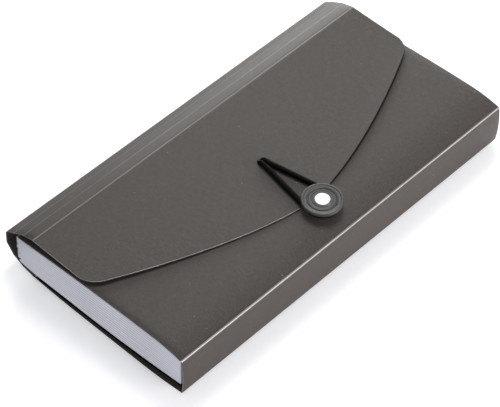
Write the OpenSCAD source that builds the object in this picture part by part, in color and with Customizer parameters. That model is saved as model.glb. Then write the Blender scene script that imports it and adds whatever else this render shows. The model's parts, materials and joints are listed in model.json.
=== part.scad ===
// Expanding coupon wallet. One scored plastic sheet folds round a stack of thirteen pleated
// pockets, and an elastic loop on its flap closes it round a button on the front cover.
// X runs along the creases, Y from the base fold to the wrapped mouth, Z up from the table.

/* [Cover sheet] */
// Length of the wallet along its creases
wallet_len = 260; // [220:1:300]
// Thickness of the cover sheet
sheet_t = 0.8; // [0.7:0.05:0.85]
// Gap between the bead on a crease line and the next panel
crease_gap = 0.05; // [0.03:0.01:0.08]
// Height of the front cover's outer face at the base fold
fold_h = 29.05; // [29:0.05:30]
// Rise of the front cover from the base fold to its crown
crown_rise = 2.55; // [2:0.05:2.6]
// Distance of the crown from the base fold
crown_y = 21; // [20:0.5:22]
// Fall of the front cover from its crown to its free edge
mouth_drop = 5.2; // [5:0.1:5.5]
// Distance of the front cover's free edge from the base fold
cover_end = 127; // [126:0.1:127]
// Outward bow of the base panel
base_bow = 1; // [0:0.1:2]
// Distance of the first wrap crease from the base fold
back_end = 116.14; // [116:0.02:116.3]
// Lift of the back cover off the table at the base fold
fold_lift = 2.3; // [2:0.1:2.4]
// Lift of the back cover off the table at the first wrap crease
wrap_lift = 1.58; // [1.4:0.02:1.6]
// Width of one strip of the wrap
strip_w = 8.33; // [8.3:0.01:8.4]

/* [Flap] */
// Distance of the flap's tip curve from the base fold
tip_y = 25; // [24:0.5:28]
// Rise of the tip curve towards the flap's corners
tip_rise = 0.03; // [0.02:0.001:0.032]
// Radius of the flap's corners
flap_corner_r = 8; // [4:0.5:12]
// Dip of the flap from its crease to its flat part
flap_dip = 0.95; // [0.8:0.05:0.95]
// Radius of the tip's notch for the button's neck
notch_r = 12.4; // [11:0.1:13]
// Diameter of the hole for the elastic
hole_d = 5.6; // [5.4:0.1:7]
// Distance of that hole from the base fold
hole_y = 66; // [64:0.5:68]

/* [Pockets] */
// Thickness of a divider or liner
leaf_t = 0.35; // [0.25:0.05:0.35]
// Thickness of the gussets' film
film_t = 0.25; // [0.15:0.05:0.25]
// Distance of the dividers' full corners from the base fold
leaf_end = 129; // [128.5:0.1:129]
// Distance of the finger cut between those corners
cut_y = 122.5; // [120:0.5:125]
// Width of an index tab
tab_w = 17; // [12:0.5:18]
// Distance of the tabs' edges from the base fold
tab_end = 130; // [129:0.1:130]

/* [Button] */
// Distance of the button from the base fold
button_y = 20.4; // [20:0.1:21]
// Diameter of the button's disc
disc_d = 24; // [20:0.5:26]
// Radius of the neck that the elastic goes round
neck_r = 8; // [6:0.1:8]
// Diameter of the rivet's head
head_d = 8.6; // [7:0.1:9]
// Radius of the rivet's shank
shank_r = 2; // [1.5:0.1:2]

/* [Hidden] */

half_len = wallet_len / 2;
bead_r = sheet_t / 2;
crease_reach = bead_r + crease_gap;     // from a crease line to the next panel's flat end
land_w = 1;                             // a curved panel runs level to this distance from its end
eps = 0.01;

// Front cover: crowned near the button, falling towards the mouth
crown_h = fold_h + crown_rise;
cover_ys = [bead_r, land_w, 3, 6, 9, 12, 16, 21, 28, 36, 46, 56, 66, 76, 86, 96, 105, 113, 120, cover_end];
fold_axis = [bead_r, cover_z(bead_r) - bead_r];

// Back cover: flat in the middle, lifting towards both of its creases
flat_start = 32;
flat_end = 76;
back_ys = [
    bead_r, land_w, 5, 10, 16, 23, flat_start, flat_end,
    84, 92, 100, 108, back_end - land_w, back_end
];
base_axis = [bead_r, back_z(bead_r) + bead_r];

// Base panel: the upper end stands clear of the front cover's bead
panel_gap = 0.3;
panel_z0 = base_axis.y + crease_reach;
panel_z1 = fold_axis.y - bead_r - panel_gap;
bow_steps = 8;

// Wrap: direction of each strip, turned from +Y towards +Z
strip_turns = [12, 28.5, 52.7, 91.2, 146.2, 152.25, 165.45];
flap_axis = crease(8);
flap_flat_y = 60;
flap_ys = [tip_y - 8, flap_flat_y, 69, 77, 85, 93, 101, 108, flap_axis.x - crease_reach];

// Whole wallet, whose middle is the origin of the frame
y_front = -base_bow;
y_back = crease(4).x + bead_r;
y_mid = (y_front + y_back) / 2;

// Pockets: leaf 0 is the front liner, leaves 1 to 12 are the dividers, leaf 13 is the rear liner
last_leaf = 12;
leaf_start = 2;
leaf_ys = concat([leaf_start], [for (y = cover_ys) if (y > leaf_start && y < cover_end) y], [cover_end, leaf_end, tab_end]);
stack_low = 4.9;        // lowest divider's upper face over the middle of the back cover
stack_base_lift = 4.6;  // its lift at the base fold
stack_mouth_lift = 3.1; // its lift at the mouth
rear_lift = 5.85;       // rear liner's lift off the back cover at the base fold
rear_join = 95;         // where the rear liner has come down to the back cover
rear_weld = [108, back_end - land_w]; // where it lies on the back cover
rear_ys = [leaf_start, 8, 16, 26, 36, 46, 56, 66, 76, 86, rear_join, rear_weld[0], rear_weld[1]];
leaf_inset = 0.8;       // from the wallet's end to the leaves' ends
corner_w = 9.2;         // leaf kept at full depth beside each gusset
tab_pitch = 18.6;
tab_r = 2;
film_gap = 0.05;        // between a gusset's film and its leaves
film_inset = 0.4;       // from the wallet's end to the gussets' folds
film_y = 1.2;           // gussets' base folds
leg_w = 8.6;            // film that lies along a leaf's end
leg_depth = 5;          // film that lies along a leaf's base edge

// Button and rivet, stacked on the front cover's crown
neck_z = crown_h + 0.03;
disc_z = 35.25;
disc_top = 37.4;
rim_r = 0.6;
ring_r = 8.6;           // groove round the disc's face
ring_w = 0.5;
seat_r = 4.7;           // recess for the rivet's head
seat_z = 36.7;
head_gap = 0.1;
head_z = seat_z + head_gap;
head_t = 1;
dome_h = 0.35;
bore_play = 0.05;
washer_r = 4.5;
washer_t = 0.7;
washer_z = cover_z(button_y - washer_r) - sheet_t - washer_t;
clinch_r = 3;
clinch_t = 0.45;
washer_room_r = 6;      // hole in the front liner round the washer

// Elastic loop: fixed under the flap, out through its hole and once round the neck
cord_r = 1.25;
cord_sides = 8;
cord_x = 1.3;           // each strand's distance from the middle where it passes the hole
strand_z = 33.95;
anchor_r = 4;
anchor_t = 1;
anchor_top = flap_z(hole_y) - sheet_t - eps;
turn_r = neck_r + cord_r + 0.1;
strand_points = [
    [cord_x, hole_y, 32.2],
    [1.34, hole_y - 0.25, 33.05],
    [1.46, hole_y - 0.9, 33.7],
    [1.6, hole_y - 1.8, strand_z],
    [2.7, 58, strand_z],
    [3.8, 52, strand_z],
    [4.8, 46, strand_z],
    [5.9, 40, strand_z],
    [7, 34, strand_z],
    [8, 28, strand_z]
];
turn_points = [
    for (a = [10:-10:-80])
    [turn_r * cos(a), button_y + turn_r * sin(a), strand_z]
];
loop_half = concat([[cord_x, hole_y, anchor_top]], strand_points, turn_points);
loop_route = concat(
    loop_half,
    [[0, button_y - turn_r, strand_z]],
    [for (i = [len(loop_half) - 1:-1:0]) [-loop_half[i].x, loop_half[i].y, loop_half[i].z]]
);

cover_color = [0.38, 0.365, 0.35];
leaf_color = [0.75, 0.77, 0.82];
dark_color = [0.08, 0.08, 0.08];
rivet_color = [0.93, 0.93, 0.93];

function two_digits(k) = str(k < 10 ? "0" : "", k);

function reversed(points) = [for (i = [len(points) - 1:-1:0]) points[i]];

// Height of the front cover's outer face
function cover_z(y) =
    y < crown_y
    ? fold_h + crown_rise * (1 - pow(1 - max(land_w, y) / crown_y, 2))
    : crown_h - mouth_drop * pow((y - crown_y) / (cover_end - crown_y), 1.6);

// Height of the back cover's outer face
function back_z(y) =
    y < flat_start ? fold_lift * pow((flat_start - max(land_w, y)) / flat_start, 2)
    : y > flat_end ? wrap_lift * pow((min(y, back_end - land_w) - flat_end) / (back_end - flat_end), 2)
    : 0;

// Crease line i of the wrap, from the back cover at 1 to the flap at 8
function crease(i) =
    i == 1
    ? [back_end, back_z(back_end) + bead_r]
    : crease(i - 1) + strip_w * [cos(strip_turns[i - 2]), sin(strip_turns[i - 2])];

// Height of the flap's outer face
function flap_z(y) =
    flap_axis.y + bead_r
    - flap_dip * (1 - pow(max(0, (y - flap_flat_y) / (flap_axis.x - flap_flat_y)), 2.2));

// Distance of the flap's edge from the base fold, at x from the middle
function tip_edge(x) = tip_y + tip_rise * pow(abs(x), 1.5);

// Upper and lower bounds of the pocket stack, as upper faces of leaves 0 and 12
function stack_top(y) = lookup(y, cover_line) - sheet_t;
function stack_bottom(y) =
    stack_low
    + stack_base_lift * pow(max(0, 1 - y / 80), 2)
    + stack_mouth_lift * pow(max(0, y - 108) / 21, 2);

// Upper face of the rear liner
function rear_z(y) =
    max(
        lookup(y, back_line) + sheet_t + leaf_t,
        back_z(rear_weld[0]) + sheet_t + leaf_t + rear_lift * pow(max(0, 1 - y / rear_join), 1.5)
    );

// Upper face of leaf k, as a line of [y, z] points
function leaf_line(k) =
    k > last_leaf
    ? [for (y = rear_ys) [y, rear_z(y)]]
    : [for (y = leaf_ys) [y, stack_top(y) + (stack_bottom(y) - stack_top(y)) * k / last_leaf]];

cover_line = concat(
    [for (y = cover_ys) [y, cover_z(y)]],
    [for (y = [leaf_end, tab_end]) [y, cover_z(y)]]
);
back_line = [for (y = back_ys) [y, back_z(y)]];

// Part of a line of [y, z] points that lies between y0 and y1
function trimmed(line, y0, y1) =
    concat(
        [[y0, lookup(y0, line)]],
        [for (p = line) if (p.x > y0 && p.x < y1) p],
        [[y1, lookup(y1, line)]]
    );

function raised(line, z) = [for (p = line) p + [0, z]];

// Moves the construction, which starts at the base fold, to the frame's origin
module placed() {
    translate([0, -y_mid, 0])
        children();
}

// Solid along X whose section in Y and Z is the child
module along_x(length) {
    translate([-length / 2, 0, 0])
        rotate([90, 0, 90])
            linear_extrude(length)
                children();
}

module section(upper, lower) {
    polygon(concat(lower, reversed(upper)));
}

module sheet_section(upper, thickness) {
    section(upper, raised(upper, -thickness));
}

// Rounded end of a panel, centred on a crease line
module bead(axis) {
    translate(axis)
        circle(r = bead_r, $fn = 48);
}

module button_axis() {
    translate([0, button_y, 0])
        children();
}

module front_cover() {
    color(cover_color)
    difference() {
        along_x(wallet_len) {
            sheet_section(trimmed(cover_line, bead_r, cover_end), sheet_t);
            bead(fold_axis);
        }
        button_axis()
            cylinder(r = shank_r + bore_play, h = 2 * crown_h, $fn = 48);
    }
}

module base_panel() {
    panel_h = panel_z1 - panel_z0;
    outer = [
        for (i = [0:bow_steps])
        let (u = 2 * i / bow_steps - 1)
        [-base_bow * (1 - u * u), panel_z0 + panel_h * i / bow_steps]
    ];
    color(cover_color)
    along_x(wallet_len)
        polygon(concat(outer, [for (p = reversed(outer)) p + [sheet_t, 0]]));
}

module back_cover() {
    color(cover_color)
    along_x(wallet_len) {
        sheet_section(raised(back_line, sheet_t), sheet_t);
        bead(base_axis);
        bead(crease(1));
    }
}

module wrap_strip(i) {
    axis = crease(i);
    color(cover_color)
    translate([0, axis.x, axis.y])
        rotate([strip_turns[i - 1], 0, 0])
            along_x(wallet_len) {
                translate([crease_reach, -bead_r])
                    square([strip_w - crease_reach, sheet_t]);
                bead([strip_w, 0]);
            }
}

// Plan of the flap: straight sides, round corners and a long curved edge
module flap_outline() {
    corner_x = half_len - flap_corner_r;
    corner_slope = atan(1.5 * tip_rise * sqrt(corner_x));
    edge_x = corner_x + flap_corner_r * sin(corner_slope);
    corner_y = tip_edge(edge_x) + flap_corner_r * cos(corner_slope);
    corner = [
        for (i = [0:5])
        let (a = -i / 5 * (90 - corner_slope))
        [corner_x + flap_corner_r * cos(a), corner_y + flap_corner_r * sin(a)]
    ];
    edge = [
        for (i = [17:-1:1])
        let (x = edge_x * i / 18)
        [x, tip_edge(x)]
    ];
    side = concat([[half_len, flap_axis.x]], corner, edge);
    polygon(concat(side, [[0, tip_y]], [for (p = reversed(side)) [-p.x, p.y]]));
}

module flap() {
    color(cover_color)
    difference() {
        intersection() {
            along_x(wallet_len)
                sheet_section([for (y = flap_ys) [y, flap_z(y)]], sheet_t);
            linear_extrude(2 * crown_h)
                flap_outline();
        }
        button_axis()
            cylinder(r = notch_r, h = 2 * crown_h, $fn = 96);
        translate([0, hole_y, 0])
            cylinder(d = hole_d, h = 2 * crown_h, $fn = 48);
    }
}

module button() {
    rim_x = disc_d / 2 - rim_r;
    color(dark_color)
    button_axis()
    difference() {
        rotate_extrude($fn = 96) {
            translate([0, neck_z])
                square([neck_r, disc_z - neck_z + eps]);
            translate([0, disc_z])
                square([rim_x, disc_top - disc_z]);
            translate([rim_x - eps, disc_z + rim_r])
                square([rim_r + eps, disc_top - disc_z - 2 * rim_r]);
            for (z = [disc_z + rim_r, disc_top - rim_r])
                translate([rim_x, z])
                    circle(r = rim_r, $fn = 32);
        }
        cylinder(r = shank_r + bore_play, h = 2 * crown_h, $fn = 48);
        translate([0, 0, seat_z])
            cylinder(r = seat_r, h = crown_h, $fn = 64);
        rotate_extrude($fn = 96)
            translate([ring_r, disc_top])
                circle(d = ring_w, $fn = 24);
    }
}

module rivet() {
    dome_r = (pow(head_d / 2, 2) + pow(dome_h, 2)) / (2 * dome_h);
    color(rivet_color)
    button_axis() {
        translate([0, 0, washer_z - clinch_t])
            cylinder(r = clinch_r, h = clinch_t, $fn = 48);
        translate([0, 0, washer_z - clinch_t])
            cylinder(r = shank_r, h = head_z - washer_z + clinch_t + eps, $fn = 48);
        intersection() {
            translate([0, 0, head_z])
                cylinder(d = head_d, h = head_t, $fn = 64);
            translate([0, 0, head_z + head_t - dome_r])
                sphere(r = dome_r, $fn = 128);
        }
    }
}

module rivet_washer() {
    color(dark_color)
    button_axis()
        translate([0, 0, washer_z])
            difference() {
                cylinder(r = washer_r, h = washer_t, $fn = 64);
                translate([0, 0, -eps])
                    cylinder(r = shank_r, h = washer_t + 2 * eps, $fn = 48);
            }
}

function unit(v) = v / norm(v);

// Directions along a route at each of its points
function headings(route) =
    let (last = len(route) - 1)
    [
        for (i = [0:last])
        i == 0 || i == last ? [0, 0, i == 0 ? 1 : -1]
        : unit(unit(route[i] - route[i - 1]) + unit(route[i + 1] - route[i]))
    ];

// Side directions that turn as little as they can from ring to ring
function ring_sides(ways) =
    [
        for (i = 0, s = [1, 0, 0]; i < len(ways); i = i + 1, s = i < len(ways) ? unit(s - ways[i] * (s * ways[i])) : s)
        s
    ];

// Round cord along a route, with flat ends
module cord(route, radius, sides) {
    ways = headings(route);
    across = ring_sides(ways);
    rings = len(route);
    points = [
        for (i = [0:rings - 1], j = [0:sides - 1])
        let (a = 360 * (j + 0.5) / sides)
        route[i] + radius * (cos(a) * across[i] + sin(a) * cross(ways[i], across[i]))
    ];
    walls = [
        for (i = [0:rings - 2], j = [0:sides - 1])
        let (a = i * sides + j, b = i * sides + (j + 1) % sides)
        each [[a, a + sides, b], [b, a + sides, b + sides]]
    ];
    start = [for (j = [0:sides - 1]) j];
    end = [for (j = [sides - 1:-1:0]) (rings - 1) * sides + j];
    polyhedron(points, concat(walls, [start, end]));
}

module elastic_loop() {
    color(dark_color)
        cord(loop_route, cord_r, cord_sides);
}

module elastic_anchor() {
    color(dark_color)
    translate([0, hole_y, anchor_top - anchor_t])
        cylinder(r = anchor_r, h = anchor_t, $fn = 64);
}

module front_liner() {
    color(leaf_color)
    difference() {
        along_x(wallet_len - 2 * leaf_inset)
            sheet_section(trimmed(leaf_line(0), leaf_start, cover_end), leaf_t);
        button_axis()
            cylinder(r = washer_room_r, h = 2 * crown_h, $fn = 64);
    }
}

module rear_liner() {
    color(leaf_color)
    along_x(wallet_len - 2 * leaf_inset)
        sheet_section(leaf_line(last_leaf + 1), leaf_t);
}

// Plan of a divider: full corners, a finger cut between them and one index tab in it
module divider_outline(k) {
    side_x = half_len - leaf_inset;
    corner_x = side_x - corner_w;
    slope_w = 4;
    tab_x = (k - (last_leaf + 1) / 2) * tab_pitch;
    polygon([
        [-side_x, leaf_start], [side_x, leaf_start], [side_x, leaf_end], [corner_x, leaf_end],
        [corner_x - slope_w, cut_y], [slope_w - corner_x, cut_y], [-corner_x, leaf_end], [-side_x, leaf_end]
    ]);
    translate([tab_x, 0]) {
        translate([-tab_w / 2, cut_y - tab_r])
            square([tab_w, tab_end - cut_y]);
        translate([tab_r - tab_w / 2, cut_y - tab_r])
            square([tab_w - 2 * tab_r, tab_end - cut_y + tab_r]);
        for (side = [-1, 1])
            translate([side * (tab_w / 2 - tab_r), tab_end - tab_r])
                circle(r = tab_r, $fn = 32);
    }
}

module divider(k) {
    color(leaf_color)
    intersection() {
        along_x(wallet_len - 2 * leaf_inset)
            sheet_section(leaf_line(k), leaf_t);
        linear_extrude(2 * crown_h)
            divider_outline(k);
    }
}

// Room of pocket k between its two leaves, from y0 to y1, kept off both by a gap
module pocket_section(k, y0, y1, gap) {
    upper = raised(trimmed(leaf_line(k - 1), y0, y1), -leaf_t - gap);
    lower = raised(trimmed(leaf_line(k), y0, y1), gap);
    section(upper, lower);
}

// Thin film that closes pocket k along both ends and its base, with legs against both leaves
module pocket_gusset(k) {
    mouth = k == 1 ? cover_end : k > last_leaf ? rear_weld[1] : leaf_end;
    outer_len = wallet_len - 2 * film_inset;
    past = mouth + 1;
    color(leaf_color)
    difference() {
        along_x(outer_len)
            pocket_section(k, film_y, mouth, film_gap);
        along_x(outer_len - 2 * film_t)
            pocket_section(k, film_y + film_t, past, film_gap + film_t);
        along_x(outer_len - 2 * leg_w)
            pocket_section(k, film_y + leg_depth, past, -film_gap);
    }
}

placed() front_cover();
placed() base_panel();
placed() back_cover();
for (i = [1:7])
    placed() wrap_strip(i);
placed() flap();
placed() button();
placed() rivet();
placed() rivet_washer();
placed() elastic_loop();
placed() elastic_anchor();
placed() front_liner();
placed() rear_liner();
for (k = [1:12])
    placed() divider(k);
for (k = [1:13])
    placed() pocket_gusset(k);
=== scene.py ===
import json
import math

import bmesh
import bpy
from mathutils import Matrix, Vector, noise
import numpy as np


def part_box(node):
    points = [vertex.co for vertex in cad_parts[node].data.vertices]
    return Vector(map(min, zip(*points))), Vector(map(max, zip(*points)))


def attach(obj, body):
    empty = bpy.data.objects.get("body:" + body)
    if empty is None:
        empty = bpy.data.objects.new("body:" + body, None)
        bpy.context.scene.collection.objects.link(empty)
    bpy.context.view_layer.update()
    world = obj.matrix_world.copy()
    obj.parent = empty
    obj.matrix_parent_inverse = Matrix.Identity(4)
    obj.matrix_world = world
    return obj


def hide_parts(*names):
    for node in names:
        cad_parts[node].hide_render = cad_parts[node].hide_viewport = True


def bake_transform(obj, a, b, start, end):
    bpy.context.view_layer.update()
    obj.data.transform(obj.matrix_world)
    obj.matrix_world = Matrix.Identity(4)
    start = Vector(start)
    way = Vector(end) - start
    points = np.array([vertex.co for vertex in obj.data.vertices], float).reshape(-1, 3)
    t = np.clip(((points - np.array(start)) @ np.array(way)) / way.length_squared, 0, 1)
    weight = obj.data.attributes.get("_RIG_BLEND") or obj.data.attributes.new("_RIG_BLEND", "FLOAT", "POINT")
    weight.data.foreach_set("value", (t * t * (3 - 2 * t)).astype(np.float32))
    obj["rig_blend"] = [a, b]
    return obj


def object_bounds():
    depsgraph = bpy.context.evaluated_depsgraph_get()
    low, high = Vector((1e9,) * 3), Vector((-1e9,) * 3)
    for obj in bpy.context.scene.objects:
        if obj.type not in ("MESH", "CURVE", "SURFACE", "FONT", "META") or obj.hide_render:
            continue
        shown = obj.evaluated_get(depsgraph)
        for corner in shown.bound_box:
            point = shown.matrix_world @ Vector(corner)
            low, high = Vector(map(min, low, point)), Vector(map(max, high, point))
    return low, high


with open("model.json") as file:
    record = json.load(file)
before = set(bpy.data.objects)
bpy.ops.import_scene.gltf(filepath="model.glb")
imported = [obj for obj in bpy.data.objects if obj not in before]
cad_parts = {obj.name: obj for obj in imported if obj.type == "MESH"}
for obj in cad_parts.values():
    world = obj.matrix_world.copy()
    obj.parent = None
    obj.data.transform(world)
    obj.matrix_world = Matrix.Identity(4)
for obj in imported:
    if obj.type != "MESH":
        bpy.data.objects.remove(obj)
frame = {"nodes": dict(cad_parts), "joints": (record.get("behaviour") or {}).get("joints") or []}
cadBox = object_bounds()
mm = 0.001
hinge = {j["name"]: Vector(j["pos_m"]) / mm for j in frame["joints"]}
print("frame loaded:", len(frame["nodes"]), "nodes")


# Shader terms: maths on sockets is written as plain expressions

class Term:
    def __init__(self, graph, socket):
        self.graph = graph
        self.socket = socket

    def maths(self, operation, other=0.0, swapped=False):
        first, second = (other, self) if swapped else (self, other)
        return self.graph.add("ShaderNodeMath", {"operation": operation}, {0: first, 1: second})

    def __add__(self, other):
        return self.maths("ADD", other)

    def __radd__(self, other):
        return self.maths("ADD", other)

    def __sub__(self, other):
        return self.maths("SUBTRACT", other)

    def __rsub__(self, other):
        return self.maths("SUBTRACT", other, True)

    def __mul__(self, other):
        return self.maths("MULTIPLY", other)

    def __rmul__(self, other):
        return self.maths("MULTIPLY", other)

    def clamped(self):
        return self.maths("MAXIMUM", 0.0).maths("MINIMUM", 1.0)


class Graph:
    def __init__(self, owner):
        owner.use_nodes = True
        self.owner = owner
        self.tree = owner.node_tree
        self.tree.nodes.clear()

    def add(self, kind, settings=None, sockets=None, output=0):
        node = self.tree.nodes.new(kind)
        for key, value in (settings or {}).items():
            setattr(node, key, value)
        for key, value in (sockets or {}).items():
            if isinstance(value, Term):
                self.tree.links.new(value.socket, node.inputs[key])
            else:
                node.inputs[key].default_value = value
        return Term(self, node.outputs[output]) if len(node.outputs) else node

    def place(self, scale=(1, 1, 1), turn=(0, 0, 0)):
        spot = self.add("ShaderNodeTexCoord", output="Object")
        return self.add("ShaderNodeMapping", None, {"Vector": spot, "Scale": scale, "Rotation": turn})

    def noise(self, where, scale, detail=2.0, roughness=0.5):
        return self.add("ShaderNodeTexNoise", None,
                        {"Vector": where, "Scale": scale, "Detail": detail, "Roughness": roughness})

    def range(self, value, low, high, start=0.0, end=1.0):
        return self.add("ShaderNodeMapRange", {"interpolation_type": "SMOOTHSTEP"},
                        {0: value, 1: low, 2: high, 3: start, 4: end})

    def mix(self, factor, colorA, colorB):
        return self.add("ShaderNodeMix", {"data_type": "RGBA"}, {0: factor, 6: colorA, 7: colorB}, output=2)

    def bump(self, height, strength, distance):
        sockets = {"Height": height, "Strength": strength, "Distance": distance}
        return self.add("ShaderNodeBump", None, sockets)

    def attribute(self, name):
        return self.add("ShaderNodeAttribute", {"attribute_name": name}, output="Fac")

    def plastic(self, **sockets):
        spaced = {}
        for key, value in sockets.items():                # baseColor becomes Base Color
            words = "".join(" " + c if c.isupper() else c for c in key)
            spaced[words.title().replace("Ior", "IOR")] = value
        shader = self.add("ShaderNodeBsdfPrincipled", None, spaced)
        self.add("ShaderNodeOutputMaterial", None, {"Surface": shader})
        return self.owner


def linear(red, green, blue):
    return tuple((c / 255) ** 2.2 for c in (red, green, blue)) + (1.0,)


def scaled(color, factor):
    return tuple(min(1, c * factor) for c in color[:3]) + (1.0,)


# edge is a painted highlight for cut edges and also the lighter tone of the brushed streaks; shade is painted
# shade for cut-edge rims, crease hairlines and the last gusset
sheetLook = {"tone": linear(57, 52, 49), "pale": linear(68, 63, 60), "edge": linear(184, 182, 179),
             "scored": linear(124, 121, 117), "white": linear(224, 222, 219), "speck": linear(190, 188, 184),
             "shade": linear(11, 10, 10)}


def sheetMaterial(name, base, rough=0.5, specks=1.0):
    g = Graph(bpy.data.materials.new(name))
    flat = g.place()
    cloud = g.noise(flat, 9, 3)
    grain = g.noise(g.place((1, 1.6, 1)), 2600, 2, 0.6)
    brushed = g.noise(g.place((9, 1, 9), (0, 0, 0.09)), 420, 3, 0.6)
    scuff = g.range(g.noise(g.place((1, 7, 7), (0, 0, 0.5)), 150, 3), 0.64, 0.75)
    speck = g.range(g.noise(flat, 700, 1, 0.4), 0.78, 0.83) * specks
    shade = g.mix(g.range(cloud, 0.3, 0.75) * 0.3, base, sheetLook["pale"])
    shade = g.mix(g.range(brushed, 0.35, 0.7) * 0.05, shade, sheetLook["edge"])
    shade = g.mix(speck * 0.4, shade, sheetLook["speck"])
    return g.plastic(baseColor=shade, roughness=(rough + (cloud - 0.5) * 0.1 - scuff * 0.1).clamped(),
                     specularIorLevel=0.2, normal=g.bump(grain * 0.6 + brushed * 0.4, 0.1, 0.00004))


# Cut-edge colours with painted light: lighter towards the left and darker towards the right along x
def edgeMaterial(name, lit, dark, turnAt=0.0, gloss=0.2):
    g = Graph(bpy.data.materials.new(name))
    along = g.add("ShaderNodeSeparateXYZ", None, {0: g.place()})
    patches = g.noise(g.place(), 160, 3)
    shade = g.mix(g.range(along, turnAt - 0.012, turnAt + 0.012), lit, dark)      # painted highlight towards the left, painted shade towards the right
    # random patches pull the edge further towards the painted shade
    shade = g.mix(g.range(patches, 0.35, 0.7) * 0.4, shade, dark)
    return g.plastic(baseColor=shade, roughness=0.4 + (patches - 0.5) * 0.1, specularIorLevel=gloss)


def leafMaterial(name, base, rough, through=0.0, valley=None, gloss=0.5):
    g = Graph(bpy.data.materials.new(name))
    cloud = g.noise(g.place(), 30, 3)
    shade = g.mix(g.range(cloud, 0.3, 0.7), base, scaled(base, 0.95))
    # painted shade: the folds' valleys take a darker colour than the ridges
    if valley:
        shade = g.mix(g.range(g.attribute("fold"), 0.35, 1.0), valley, shade)
    return g.plastic(baseColor=shade, roughness=rough + (cloud - 0.5) * 0.1, subsurfaceWeight=through,
                     subsurfaceRadius=(0.3, 0.3, 0.3), specularIorLevel=gloss,
                     normal=g.bump(g.noise(g.place((1, 4, 4)), 500), 0.15, 0.00004))


def mouldedMaterial(name, base, rough, coat=0.0):
    g = Graph(bpy.data.materials.new(name))
    fine = g.noise(g.place(), 1400, 2)
    patches = g.noise(g.place(), 90, 3)
    shade = g.mix(g.range(patches, 0.35, 0.75) * 0.25, base, scaled(base, 1.25))
    return g.plastic(baseColor=shade, roughness=rough + (patches - 0.5) * 0.12, coatWeight=coat,
                     specularIorLevel=0.3, normal=g.bump(fine, 0.12, 0.00003))


def elasticMaterial():
    g = Graph(bpy.data.materials.new("elasticBraid"))
    along = g.attribute("along") * 1.9
    around = g.attribute("around") * 25.1
    weave = (along + around).maths("SINE").maths("MAXIMUM", (along - around).maths("SINE")) * 0.5 + 0.5
    fibre = g.noise(g.place(), 3000, 2)
    shade = g.mix(weave.clamped(), linear(2, 2, 2), linear(15, 14, 14))
    return g.plastic(baseColor=shade, roughness=0.7, specularIorLevel=0.07,
                     normal=g.bump(weave + fibre * 0.3, 0.8, 0.00018))


material = {
    "cover": sheetMaterial("coverSheet", sheetLook["tone"]),
    "scored": sheetMaterial("scoredCrease", sheetLook["scored"], 0.4, 0.0),
    # cutEdge is a painted highlight: a pale cut-edge colour, used on the hole walls
    "cutEdge": sheetMaterial("cutEdge", sheetLook["edge"], 0.38, 0.0),
    "whitened": sheetMaterial("whitenedFold", sheetLook["white"], 0.35, 0.0),
    # shadedEdge paints cut edges near black as painted shade; flapEdge and panelEdge are painted highlight
    # towards the left and painted shade towards the right
    "shadedEdge": edgeMaterial("shadedEdge", sheetLook["shade"], sheetLook["shade"], gloss=0.03),
    "flapEdge": edgeMaterial("flapEdge", linear(176, 174, 170), linear(24, 23, 22), 0.008),
    "panelEdge": edgeMaterial("panelEdge", linear(120, 118, 115), linear(60, 57, 54), 0.05),
    "leaf": leafMaterial("pocketLeaf", linear(222, 223, 232), 0.42, 0.1),
    # the gusset film's valley colour is painted shade in the pleat valleys
    "film": leafMaterial("gussetFilm", linear(240, 240, 247), 0.38, 0.1, linear(126, 128, 140)),
    # painted shade: a near-black, unreflecting film put where the last pocket lies in deep shadow
    "paintedShadeFilm": leafMaterial("paintedShadeGussetFilm", sheetLook["shade"], 0.6, gloss=0.0),
    "button": mouldedMaterial("buttonPlastic", linear(52, 52, 51), 0.42, 0.08),
    "rivet": mouldedMaterial("rivetPlastic", linear(250, 250, 250), 0.3, 0.2),
    "washer": mouldedMaterial("washerPlastic", linear(60, 60, 60), 0.4),
    "elastic": elasticMaterial(),
}
print("materials made:", len(material))


# Rails: the CAD pieces' own end sections, read as smooth lines of (y, z) in millimetres.
# A flat vector below holds a section's y in its x, and a section's z in its y.

class Rail:
    def __init__(self, points):
        self.points = sorted(points)

    def slopeAt(self, i):
        a, b = self.points[max(i - 1, 0)], self.points[min(i + 1, len(self.points) - 1)]
        return (b[1] - a[1]) / (b[0] - a[0])

    def at(self, place):
        p = self.points
        following = next((n for n, q in enumerate(p) if q[0] > place), len(p))
        i = max(0, min(len(p) - 2, following - 1))
        width = p[i + 1][0] - p[i][0]
        t = (place - p[i][0]) / width
        if t < 0 or t > 1:
            end = 0 if t < 0 else len(p) - 1
            return p[end][1] + self.slopeAt(end) * (place - p[end][0])
        m0, m1 = self.slopeAt(i) * width, self.slopeAt(i + 1) * width
        h = t * t * (3 - 2 * t)
        return p[i][1] * (1 - h) + p[i + 1][1] * h + (t * (1 - t) ** 2) * m0 - (t * t * (1 - t)) * m1

    def tilt(self, place):
        return self.at(place + 0.5) - self.at(place - 0.5)


def nodePoints(node):
    return [v.co / mm for v in frame["nodes"][node].data.vertices]


def endSection(node, keep=lambda y, z: True):
    points = nodePoints(node)
    reach = max(abs(p.x) for p in points)
    return [(p.y, p.z) for p in points if abs(p.x) > reach - 0.02 and keep(p.y, p.z)]


def edgeRail(section, pick=max, along=0):
    best = {}
    for p in section:
        key, value = round(p[along], 3), p[1 - along]
        best[key] = pick(best.get(key, value), value)
    return Rail(best.items())


sheetT = 0.8
halfT = sheetT / 2
panelEnd = 0.5                                    # from a crease line to a panel's end
nearFold = 0.02
flapLevel = {"from": -35, "places": (-60, -40, -25, -10)}   # the flap lies level towards its tip

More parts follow.
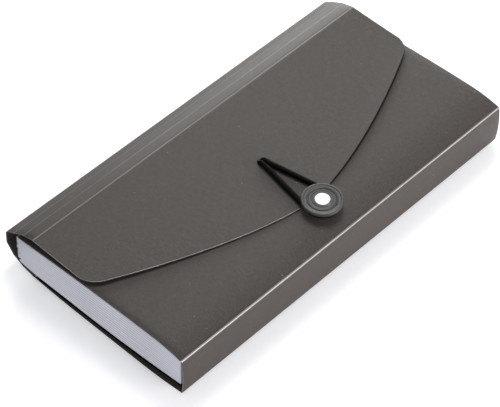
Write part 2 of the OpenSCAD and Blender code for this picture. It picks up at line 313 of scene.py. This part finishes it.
halfLen = max(abs(p.x) for p in nodePoints("front_cover"))
baseLow = Vector((hinge["base_crease"].y, hinge["base_crease"].z))
foldY = baseLow.x
firstCrease = hinge["crease_1"].y
coverRail = edgeRail(endSection("front_cover", lambda y, z: y > foldY + nearFold))
backRail = edgeRail(endSection("back_cover", lambda y, z: foldY + nearFold < y < firstCrease - nearFold), min)
baseRail = edgeRail(endSection("base_panel"), min, along=1)
tipZ = max(p.z for p in nodePoints("flap") if p.y < flapLevel["from"])
flapRail = edgeRail(endSection("flap") + [(y, tipZ) for y in flapLevel["places"]])
coverEnd = coverRail.points[-1][0]
creases = [Vector((hinge[f"crease_{i}"].y, hinge[f"crease_{i}"].z)) for i in range(1, 9)]
buttonAt = hinge["button_spin"]
print("rails read, half length", round(halfLen, 2))


def steps(start, end, count):
    return [start + (end - start) * i / count for i in range(count + 1)]


def metres(spot):
    return Vector(spot[:3]) * mm


def makeObject(name, bm, looks, body=None, replaces=(), smooth=40):
    mesh = bpy.data.meshes.new(name)
    bm.to_mesh(mesh)
    bm.free()
    for look in looks:
        mesh.materials.append(material[look])
    mesh.shade_smooth()
    mesh.set_sharp_from_angle(angle=math.radians(smooth))
    obj = bpy.data.objects.new(name, mesh)
    bpy.context.scene.collection.objects.link(obj)
    if body:
        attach(obj, body)
    if replaces:
        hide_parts(*replaces)
    return obj


def baked(obj):
    graph = bpy.context.evaluated_depsgraph_get()
    mesh = bpy.data.meshes.new_from_object(obj.evaluated_get(graph))
    obj.modifiers.clear()
    obj.data = mesh


def waver(x, y, amount=0.07):
    return amount * noise.noise(Vector((x / 60, y / 45, 3.7)))


def addGrid(bm, across, along, place, layers=()):
    made = bmesh.ops.create_grid(bm, x_segments=across, y_segments=along, size=0.5)["verts"]
    for v in made:
        spot = place(round((v.co.x + 0.5) * across), round((v.co.y + 0.5) * along))
        v.co = metres(spot)
        for layer, value in zip(layers, spot[3:]):
            v[layer] = value


def closeTube(bm):
    bmesh.ops.remove_doubles(bm, verts=bm.verts, dist=1e-7)
    bmesh.ops.holes_fill(bm, edges=[e for e in bm.edges if e.is_boundary], sides=0)
    bmesh.ops.recalc_face_normals(bm, faces=bm.faces)


def panelMesh(columns, rowCount, place):
    bm = bmesh.new()
    addGrid(bm, len(columns) - 1, rowCount, lambda i, j: place(columns[i], j / rowCount))
    bmesh.ops.reverse_faces(bm, faces=bm.faces)
    return bm


def addHole(obj, cutter):
    hole = obj.modifiers.new("hole", "BOOLEAN")
    hole.object = cutter
    hole.operation = "DIFFERENCE"
    hole.solver = "EXACT"
    hole.material_mode = "TRANSFER"
    baked(obj)
    bpy.data.objects.remove(cutter)


# rim colours the cut edges' faces and arris the rounded edge beside them: shadedEdge is painted shade, flapEdge
# and panelEdge are painted highlight and shade, and a lighter arris paints a highlight along the edge
def addSheet(name, bm, node, hole=None, rim="shadedEdge", arris="flapEdge", arrisWidth=0.12):
    obj = makeObject(name, bm, ["cover", rim, arris], node, [node])
    solid = obj.modifiers.new("sheet", "SOLIDIFY")
    solid.thickness = sheetT * mm
    solid.offset = -1
    solid.material_offset_rim = 1
    solid.use_even_offset = True
    soften = obj.modifiers.new("softEdge", "BEVEL")
    soften.width = arrisWidth * mm
    soften.material = 2
    soften.segments = 2
    soften.use_clamp_overlap = False
    soften.limit_method = "ANGLE"
    soften.angle_limit = math.radians(50)
    if hole:
        cut = bmesh.new()
        radius = hole[3] * mm
        bmesh.ops.create_cone(cut, cap_ends=True, segments=64, radius1=radius, radius2=radius, depth=8 * mm)
        bmesh.ops.translate(cut, verts=cut.verts, vec=metres(hole))
        # the hole's wall takes the cutter's cutEdge colour, a painted highlight
        addHole(obj, makeObject(name + "Cutter", cut, ["cutEdge"]))


wide = steps(-halfLen, halfLen, 52)


# Front cover, base panel and back cover

def onCover(x, t):
    y = coverEnd + (foldY + panelEnd - coverEnd) * t
    return x, y, coverRail.at(y) + waver(x, y)


def onBase(x, t):
    low, high = baseRail.points[0][0], baseRail.points[-1][0]
    z = high + (low - high) * t
    return x, baseRail.at(z), z


def onBack(x, t):
    y = foldY + panelEnd + (firstCrease - foldY - 2 * panelEnd) * t
    return x, y, backRail.at(y)


rivetHole = (0, buttonAt.y, coverRail.at(buttonAt.y), 2.05)
addSheet("frontCoverSheet", panelMesh(wide, 64, onCover), "front_cover", rivetHole, arris="panelEdge")
addSheet("basePanelSheet", panelMesh(wide, 24, onBase), "base_panel", rim="panelEdge", arris="cover")
addSheet("backCoverSheet", panelMesh(wide, 48, onBack), "back_cover", arris="cover")


# Wrap strips between the eight creases

stripCrown = 0.05


def unitOf(v):
    return v / v.length


def outward(d):
    return Vector((d.y, -d.x))


def stripMesh(i):
    a, b = creases[i], creases[i + 1]
    d = unitOf(b - a)
    out = outward(d)
    start, end = a + d * panelEnd + out * halfT, b - d * panelEnd + out * halfT

    def onStrip(x, t):
        uneven = 1 + 0.5 * noise.noise(Vector((x / 40, i, 0)))
        p = start.lerp(end, t) + out * stripCrown * math.sin(math.pi * t) * uneven
        return x, p.x, p.y
    return panelMesh(wide, 8, onStrip)


for i in range(7):
    addSheet(f"wrapStripSheet{i + 1}", stripMesh(i), f"wrap_strip_{i + 1}", arris="scored")


# Closing flap, with its curved tip, round corners, neck notch and hole

flapShape = {"tip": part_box("flap")[0].y / mm, "rise": 0.03, "curve": 1.5, "corner": 8, "notch": 12.4,
             "hole": 2.8, "lift": 0.8, "liftFrom": 5, "liftSpan": 130}
anchorLow, anchorHigh = (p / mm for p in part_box("elastic_anchor"))
loopY = (anchorLow.y + anchorHigh.y) / 2


def tipEdge(x):
    corner, notch = flapShape["corner"], flapShape["notch"]
    tip = flapShape["tip"] + flapShape["rise"] * abs(x) ** flapShape["curve"]
    inset = abs(x) - (halfLen - corner)
    if inset > 0:
        tip += corner - math.sqrt(max(0, corner ** 2 - inset ** 2))
    if abs(x) < notch:
        tip = max(tip, buttonAt.y + math.sqrt(notch ** 2 - x * x))
    return tip


def edgeLift(x, t):                                # the right half of the tip stands off the cover a little
    if x < flapShape["liftFrom"]:
        return 0
    bow = math.sin(math.pi * (x - flapShape["liftFrom"]) / flapShape["liftSpan"])
    return flapShape["lift"] * max(0, bow) * max(0, 4 * t - 3) ** 2


def onFlap(x, t):
    root = creases[7].x - panelEnd
    y = root + (tipEdge(x) - root) * t
    return x, y, flapRail.at(y) + waver(x, y, 0.05) + edgeLift(x, t)


notchX = [x * 0.45 for x in range(-28, 29)]        # close columns where the notch and the corners are
cornerX = [halfLen - flapShape["corner"] * (1 - math.sin(math.pi / 2 * k / 6)) for k in range(7)]
sideX = steps(notchX[-1] + 1.5, cornerX[0] - 2, 26)
flapX = [-x for x in reversed(cornerX)] + [-x for x in reversed(sideX)] + notchX + sideX + cornerX
addSheet("flapSheet", panelMesh(flapX, 56, onFlap), "flap",
         (0, loopY, flapRail.at(loopY), flapShape["hole"]), arrisWidth=0.13)
print("cover sheet panels made")


# Crease webs: scored strips of the sheet that bend between two panels

webShape = {"thick": 0.52, "reach": 0.62, "sink": 0.012, "hairline": 0.3, "outside": 0.1, "rounding": 8,
            "pivot": 0.45, "tiltAt": 1.2}


def sweepMesh(section, columns):
    bm = bmesh.new()
    ring = [section[i % len(section)] for i in range(len(section) + 1)]
    addGrid(bm, len(section), len(columns) - 1, lambda i, j: (columns[j], ring[i].x, ring[i].y))
    closeTube(bm)
    return bm


def bezier(a, c, b, t):
    return a * (1 - t) ** 2 + c * 2 * t * (1 - t) + b * t * t


def webSection(axis, dA, dB):
    bulge = unitOf(outward(dA) + outward(dB))
    slant = outward(dA).dot(bulge)                 # cosine of half the bend

    def layer(level):
        a = axis - dA * webShape["reach"] + outward(dA) * (level - webShape["sink"])
        b = axis + dB * webShape["reach"] + outward(dB) * (level - webShape["sink"])
        corner = axis + bulge * (level / slant)
        return [bezier(a, corner, b, t) for t in steps(0, 1, webShape["rounding"])]
    return layer(halfT) + list(reversed(layer(halfT - webShape["thick"])))


def addWeb(name, axis, dA, dB, bodyA, bodyB):
    bm = sweepMesh(webSection(axis, dA, dB), wide)
    bulge = unitOf(outward(dA) + outward(dB))
    for face in bm.faces:
        spot = face.calc_center_median() / mm
        off = Vector((spot.y, spot.z)) - axis
        along = off.dot(unitOf(dA + dB))
        if off.dot(bulge) > webShape["outside"] and abs(along) < webShape["hairline"]:
            face.material_index = 1 if along < 0 and bodyB != "flap" else 2     # painted shade beside the lighter score line
    obj = makeObject(name, bm, ["cover", "shadedEdge", "scored"])
    start, end = axis - dA * webShape["pivot"], axis + dB * webShape["pivot"]
    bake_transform(obj, bodyA, bodyB, metres((0, start.x, start.y)), metres((0, end.x, end.y)))


intoWrap = unitOf(Vector((1, backRail.tilt(creases[0].x - webShape["tiltAt"]))))
intoFlap = unitOf(Vector((-1, -flapRail.tilt(creases[7].x - webShape["tiltAt"]))))
travel = [intoWrap] + [unitOf(b - a) for a, b in zip(creases, creases[1:])] + [intoFlap]
bodies = ["back_cover"] + [f"wrap_strip_{i}" for i in range(1, 8)] + ["flap"]
for i in range(8):
    addWeb(f"creaseWeb{i + 1}", creases[i], travel[i], travel[i + 1], bodies[i], bodies[i + 1])
addWeb("baseCreaseWeb", baseLow, Vector((0, -1)), Vector((1, 0)), "base_panel", "back_cover")


# The upper fold of the base rides on the front cover, which is where the CAD has its rounded bead

lip = {"reach": 0.62, "sink": 0.012, "bulge": 0.43, "tail": 0.5, "proud": 0.04, "thin": 0.035, "thick": 0.5,
       "innerLow": (-0.35, -0.4), "innerTop": (-0.2, 0), "white": (0.16, 0.35)}


def lipSection():
    bead = Vector((foldY, min(endSection("front_cover"), key=lambda p: p[0])[1]))
    top = coverRail.at(foldY + panelEnd) - lip["sink"]
    tailZ = bead.y - lip["tail"]
    tail = Vector((baseRail.at(tailZ) - lip["proud"], tailZ))
    outer = [Vector((foldY + lip["reach"], top))]
    outer += [Vector((foldY - lip["bulge"] * math.sin(a), bead.y + (top - bead.y) * math.cos(a)))
              for a in steps(0, math.pi / 2, 8)]
    inner = [tail + Vector((lip["thin"], 0)), bead + Vector(lip["innerLow"]), bead + Vector(lip["innerTop"]),
             Vector((foldY + lip["reach"], top + lip["sink"] - lip["thick"]))]
    return outer + [tail] + inner, bead.y


section, beadZ = lipSection()
lipMesh = sweepMesh(section, wide)
for face in lipMesh.faces:
    spot = face.calc_center_median() / mm
    if lip["white"][0] < foldY - spot.y < lip["white"][1] and spot.z > beadZ:
        face.material_index = 1
makeObject("upperFoldWeb", lipMesh, ["scored", "whitened"], "front_cover")
print("crease webs made")


# Pocket leaves keep their CAD shape and get their finish

cadFinish = {"divider": "leaf", "front_liner": "leaf", "rear_liner": "leaf",
             "rivet_washer": "washer", "elastic_anchor": "washer"}
for name, obj in frame["nodes"].items():
    for start, look in cadFinish.items():
        if name.startswith(start):
            for slotItem in obj.material_slots:
                slotItem.material = material[look]


# Gussets are folded from thin film, in parts along y that each bend between two leaves

leafT = 0.35
gusset = {"start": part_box("pocket_gusset_05")[0].y / mm, "film": 0.16, "row": 4, "joins": (0.06, 0.94),
          "parts": (-60, -53, -46, -28, -3, 22, 42), "leastPart": 5, "short": 1, "ragged": 4.5,
          "slack": 0.12, "tightSlack": 0.04, "inset": 0.1, "gape": 2.4, "gapeFrom": 32, "gapeSpan": 26}
foldX = {"leg": halfLen - 8.6, "turn": halfLen - 0.95, "ridge": halfLen - 0.45, "valley": halfLen - 1.6}
endFold = [("leg", 0.09), ("turn", 0.09), ("ridge", 0.16), ("valley", 0.5),       # with the share of the height
           ("ridge", 0.84), ("turn", 0.91), ("leg", 0.91)]
bottomFold = [(4.6, 0.09), (0.3, 0.09), (0, 0.16), (0.5, 0.5), (0, 0.84), (0.3, 0.91), (4.6, 0.91)]


def leafNode(k):
    return "front_liner" if k == 0 else "rear_liner" if k == 13 else f"divider_{k:02d}"


def leafBody(k):
    return "front_cover" if k == 0 else "back_cover" if k == 13 else f"divider_{k:02d}"


leafRail = [edgeRail(endSection(leafNode(k))) for k in range(14)]


def pocketZ(k, y, share):
    low = leafRail[k].at(y)
    high = leafRail[k - 1].at(y) - leafT
    return low + (high - low) * share


def gussetBreaks(k):
    uneven = k * 0.618 % 1                         # spreads the mouths without a pattern
    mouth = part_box(f"pocket_gusset_{k:02d}")[1].y / mm - gusset["short"] - gusset["ragged"] * uneven
    return [gusset["start"]] + [y for y in gusset["parts"] if y < mouth - gusset["leastPart"]] + [mouth]


def foldEnd(k, side, y, label):
    seed = Vector((y / 17 + k * 0.73, k * 3.17 + 0.31, side * 5.43))
    slack = gusset["tightSlack" if k < 5 else "slack"] * noise.noise(seed)
    if label == "valley":
        gape = gusset["gape"] * max(0, (y - gusset["gapeFrom"]) / gusset["gapeSpan"]) ** 2
        return foldX[label] - slack - gusset["inset"] - gape
    return foldX[label] - (abs(slack) if label == "ridge" else 0)


def gussetMesh(k, y0, y1):
    bm = bmesh.new()
    layers = [bm.verts.layers.float.new("fold")]
    rows = steps(y0, y1, max(2, round((y1 - y0) / gusset["row"])))
    for side in (-1, 1):
        def onEnd(i, j):                           # the left end runs the other way, so both face the same way
            label, share = endFold[i if side > 0 else -1 - i]
            x = side * foldEnd(k, side, rows[j], label)
            return x, rows[j], pocketZ(k, rows[j], share), label != "valley"
        addGrid(bm, len(endFold) - 1, len(rows) - 1, onEnd, layers)
    if y0 <= gusset["start"]:
        across = steps(-foldX["turn"], foldX["turn"], 40)

        def onBottom(i, j):
            depth, share = bottomFold[i]
            return across[j], y0 + depth, pocketZ(k, y0 + 0.3, share)
        addGrid(bm, len(bottomFold) - 1, len(across) - 1, onBottom)
    bm.normal_update()
    bmesh.ops.solidify(bm, geom=bm.faces[:], thickness=gusset["film"] * mm)
    if bm.calc_volume(signed=True) < 0:
        bmesh.ops.reverse_faces(bm, faces=bm.faces)
    return bm


for k in range(1, 14):
    breaks = gussetBreaks(k)
    for n, (y0, y1) in enumerate(zip(breaks, breaks[1:])):
        # gusset 13 is painted shade: a near-black film standing for the deep shadow in the last pocket
        obj = makeObject(f"gusset{k:02d}Part{n}", gussetMesh(k, y0, y1), ["paintedShadeFilm" if k == 13 else "film"],
                         smooth=25)
        mid = (y0 + y1) / 2
        slope = (leafRail[k].tilt(mid) + leafRail[k - 1].tilt(mid)) / 2
        low, high = (pocketZ(k, mid, share) for share in gusset["joins"])
        rise = unitOf(Vector((-slope, 1))) * (high - low)
        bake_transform(obj, leafBody(k), leafBody(k - 1), metres((0, mid, low)),
                 metres((0, mid + rise.x, low + rise.y)))
    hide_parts(f"pocket_gusset_{k:02d}")
print("gussets made: 13")


# Button and rivet: turned profiles of (radius, z)

def turned(profile, closed=True):
    bm = bmesh.new()
    verts = [bm.verts.new(metres((r, 0, z))) for r, z in profile]
    pairs = list(zip(verts, verts[1:])) + ([(verts[-1], verts[0])] if closed else [])
    edges = [bm.edges.new(p) for p in pairs]
    bmesh.ops.spin(bm, geom=verts + edges, cent=(0, 0, 0), axis=(0, 0, 1), angle=math.tau, steps=96,
                   use_merge=True)
    bmesh.ops.remove_doubles(bm, verts=bm.verts, dist=1e-7)
    bmesh.ops.recalc_face_normals(bm, faces=bm.faces)
    bmesh.ops.translate(bm, verts=bm.verts, vec=metres((0, buttonAt.y, 0)))
    return bm


def arc(r, z, radius, start, end, count=8):
    turns = [math.radians(a) for a in steps(start, end, count)]
    return [(r + radius * math.cos(a), z + radius * math.sin(a)) for a in turns]


buttonLow, buttonHigh = (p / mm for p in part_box("button"))
top = buttonHigh.z
disc = {"radius": (buttonHigh.x - buttonLow.x) / 2, "under": top - 2.15, "face": top - 0.28, "seat": top - 0.7,
        "rim": 0.62, "neck": 8, "neckRound": 0.25, "seatR": 4.7, "seatRound": 0.15, "bore": 2.05}


def buttonProfile():
    under, face, seat = disc["under"], disc["face"], disc["seat"]
    rim, neck, small, soft = disc["rim"], disc["neck"], disc["neckRound"], disc["seatRound"]
    profile = [(disc["bore"], buttonLow.z), (neck, buttonLow.z), (neck, under - small)]
    profile += arc(neck + small, under - small, small, 180, 90, 4)
    profile += arc(disc["radius"] - rim, under + rim, rim, -90, 0)
    profile += arc(disc["radius"] - rim, top - rim, rim, 0, 90)
    profile += [(10.75, top), (10.55, top - 0.1), (10.4, face)]                    # raised rim
    profile += [(9.1, face), (8.95, face - 0.16), (8.7, face - 0.16)]              # outer groove
    profile += arc(8.35, face - 0.05, 0.3, 0, 180, 8)                              # bead beside it
    profile += [(7.95, face), (6.5, face), (6.35, face - 0.22), (6.05, face - 0.22), (5.9, face)]
    profile += [(5.5, face), (5.35, top - 0.05)]                                   # collar round the seat
    profile += arc(disc["seatR"] + soft, top - soft, soft, 90, 180, 4)
    return profile + [(disc["seatR"], seat), (disc["bore"], seat)]


makeObject("buttonDisc", turned(buttonProfile()), ["button"], "button", ["button"], 35)

rivetLow, rivetHigh = (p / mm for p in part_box("rivet"))
pin = {"headR": 4.3, "crown": 0.35, "edge": 0.15, "headT": 1, "stemR": 2, "tailR": 3, "tailT": 0.45}


def rivetProfile():
    headR, edge, headTop = pin["headR"], pin["edge"], rivetHigh.z
    domeR = (headR ** 2 + pin["crown"] ** 2) / (2 * pin["crown"])
    under, tail = headTop - pin["headT"], rivetLow.z + pin["tailT"]
    profile = [(domeR * math.sin(a), headTop - domeR * (1 - math.cos(a)))
               for a in steps(0, math.asin((headR - edge) / domeR), 10)]
    profile += arc(headR - edge, headTop - 0.48, edge, 70, 0, 4)
    profile += [(headR, under), (pin["stemR"], under), (pin["stemR"], tail), (pin["tailR"] - 0.15, tail)]
    return profile + [(pin["tailR"], rivetLow.z + 0.3), (pin["tailR"] - 0.1, rivetLow.z), (0, rivetLow.z)]


makeObject("rivetPin", turned(rivetProfile(), closed=False), ["rivet"], "front_cover",
           ["rivet"], 35)
print("button and rivet made")


# Elastic loop along the CAD's own route, from the anchor up through the hole and round the button's neck

cord = {"radius": 1.42, "sides": 20, "level": 33.95, "windR": 9.35, "narrow": 0.92, "spread": 0.22}
loopZ = cord["level"]
half = [(1.4, 0.6, anchorHigh.z), (1.4, 0.6, 31.6), (1.4, 0.6, 32.35), (1.4, 0.39, 33.15), (1.42, -0.2, 33.74),
        (1.46, -1, loopZ), (1.75, -4, loopZ), (2.6, -9, loopZ), (3.7, -15, loopZ), (5.05, -22, loopZ),
        (6.5, -30, loopZ), (8, -38, loopZ)]
route = [Vector((x, loopY + y, z)) for x, y, z in half]
for turn in range(10, -90, -10):
    a = math.radians(turn)
    route.append(Vector((cord["windR"] * math.cos(a), buttonAt.y + cord["windR"] * math.sin(a), loopZ)))
mirrored = [Vector((-p.x, p.y, p.z)) for p in reversed(route)]
route += [Vector((0, buttonAt.y - cord["windR"], loopZ))] + mirrored


def smoothRoute(points, count=7):
    line = []
    for i in range(len(points) - 1):
        p0, p1, p2, p3 = (points[max(0, min(len(points) - 1, i + n))] for n in (-1, 0, 1, 2))
        for t in steps(0, 1, count)[:-1]:
            bend = (2 * p0 - 5 * p1 + 4 * p2 - p3) * t * t + (3 * p1 - p0 - 3 * p2 + p3) * t ** 3
            line.append(0.5 * (2 * p1 + (p2 - p0) * t + bend))
    return line + [points[-1]]


def cordMesh(line):
    sides, radius = cord["sides"], cord["radius"]
    rings, length = [], 0
    across = Vector((1, 0, 0))
    for i, p in enumerate(line):
        way = (line[min(i + 1, len(line) - 1)] - line[max(i - 1, 0)]).normalized()
        across = (across - way * across.dot(way)).normalized()
        length += (p - line[i - 1]).length if i else 0
        flattened = cord["narrow"] + cord["spread"] * max(0, min(1, (loopY - p.y) / 3))
        rings.append((p, across * radius * flattened, way.cross(across) * radius, length))

    def onCord(i, j):
        p, wideWay, thickWay, far = rings[j]
        a = math.tau * (i % sides) / sides
        spot = p + wideWay * math.cos(a) + thickWay * math.sin(a)
        return spot.x, spot.y, spot.z, far, abs(2 * i / sides - 1)
    bm = bmesh.new()
    for key in ("along", "around"):
        bm.verts.layers.float.new(key)
    addGrid(bm, sides, len(rings) - 1, onCord, [bm.verts.layers.float[key] for key in ("along", "around")])
    closeTube(bm)
    return bm, length


elasticMesh, elasticLength = cordMesh(smoothRoute(route))
makeObject("elasticCord", elasticMesh, ["elastic"], "flap", ["elastic_loop"], 60)
print("elastic length", round(elasticLength, 1), "mm")


# Stage: pale floor, soft light and the photo's camera

def stageMaterial():
    g = Graph(bpy.data.materials.new("paleFloor"))
    paper = g.add("ShaderNodeBsdfDiffuse", None, {"Color": (0.86, 0.86, 0.88, 1)})
    glow = g.add("ShaderNodeEmission", None, {"Color": (1, 1, 1, 1), "Strength": 0.35})
    plain = g.add("ShaderNodeEmission", None, {"Color": (1, 1, 1, 1), "Strength": 1.0})
    away = g.add("ShaderNodeVectorMath", {"operation": "LENGTH"}, {0: g.place()}, output=1)
    seenFloor = g.add("ShaderNodeAddShader", None, {0: paper, 1: glow})
    seenFloor = g.add("ShaderNodeMixShader", None, {0: g.range(away, 0.35, 0.8), 1: seenFloor, 2: plain})
    byCamera = g.add("ShaderNodeLightPath", output="Is Camera Ray")
    shader = g.add("ShaderNodeMixShader", None, {0: byCamera, 1: paper, 2: seenFloor})
    g.add("ShaderNodeOutputMaterial", None, {"Surface": shader})
    return g.owner


material["floor"] = stageMaterial()
floorMesh = bmesh.new()
bmesh.ops.create_grid(floorMesh, x_segments=1, y_segments=1, size=4)
floor = makeObject("floorPlane", floorMesh, ["floor"])
floor.location.z = cadBox[0].z - 0.00005

world = bpy.data.worlds.new("studio")
bpy.context.scene.world = world
sky = Graph(world)
soft = sky.add("ShaderNodeBackground", None, {"Color": (0.95, 0.97, 1, 1), "Strength": 0.42})
white = sky.add("ShaderNodeBackground", None, {"Color": (1, 1, 1, 1), "Strength": 1.0})
seen = sky.add("ShaderNodeLightPath", output="Is Camera Ray")
mixed = sky.add("ShaderNodeMixShader", None, {0: seen, 1: soft, 2: white})
sky.add("ShaderNodeOutputWorld", None, {"Surface": mixed})

lights = {                                         # place, aim, size, watts, tint
    "backKey": ((0.36, 0.33, 0.9), (0, 0, 0), (0.38, 0.38), 4.1, (1, 0.99, 0.97)),
    "lowSheen": ((1.0, 0.55, 1.25), (0, 0, 0), (0.4, 0.4), 2.1, (1, 0.99, 0.98)),
    "nearRim": ((0.42, 0.56, 0.2), (0.1, 0.06, 0.03), (0.34, 0.25), 2.4, (1, 1, 0.98)),
    "backRim": ((1.25, 0.9, 0.27), (0.12, 0.06, 0.03), (0.8, 0.5), 11, (1, 1, 0.98)),
    "frontFill": ((0.3, -1.2, 0.2), (0.08, 0, 0.02), (1.1, 0.2), 25, (1, 0.98, 0.99)),
    "leftFill": ((-1.15, -0.1, 0.06), (-0.1, 0, 0.02), (0.9, 0.1), 5.2, (0.98, 0.98, 1)),
}
for name, (spot, aim, size, power, tint) in lights.items():
    lamp = bpy.data.lights.new(name, "AREA")
    lamp.shape = "RECTANGLE"
    lamp.size, lamp.size_y = size
    lamp.energy = power
    lamp.color = tint
    obj = bpy.data.objects.new(name, lamp)
    obj.location = spot
    obj.rotation_euler = (Vector(aim) - Vector(spot)).to_track_quat("-Z", "Y").to_euler()
    bpy.context.scene.collection.objects.link(obj)

# The camera was fitted to the photo. Right and up are the picture's offset from its line of sight, in pixels
view = {"spot": Vector((-626.15, -571.23, 938.45)), "azimuth": -48.03, "elevation": 47.56, "roll": 1.86,
        "focal": 2209.0, "right": 19.29, "up": -17.56}
az, el, roll = (math.radians(view[k]) for k in ("azimuth", "elevation", "roll"))
back = Vector((math.sin(az) * math.cos(el), -math.cos(az) * math.cos(el), math.sin(el)))
right = Vector((0, 0, 1)).cross(back).normalized()
up = back.cross(right)
right, up = right * math.cos(roll) + up * math.sin(roll), up * math.cos(roll) - right * math.sin(roll)
forward = (-back - right * (view["right"] / view["focal"]) + up * (view["up"] / view["focal"])).normalized()
sideways = forward.cross(up).normalized()
camera = bpy.data.objects.new("photoCamera", bpy.data.cameras.new("photoCamera"))
bpy.context.scene.collection.objects.link(camera)
camera.matrix_world = Matrix((sideways, sideways.cross(forward), -forward)).transposed().to_4x4()
camera.location = view["spot"] * mm
camera.data.sensor_width = 36
camera.data.lens = view["focal"] * 36 / 500
camera.data.clip_start, camera.data.clip_end = 0.05, 10
scene = bpy.context.scene
scene.camera = camera
scene.render.resolution_x, scene.render.resolution_y = 500, 407
scene.view_settings.view_transform = "Standard"
print("stage set:", len(lights), "lights")
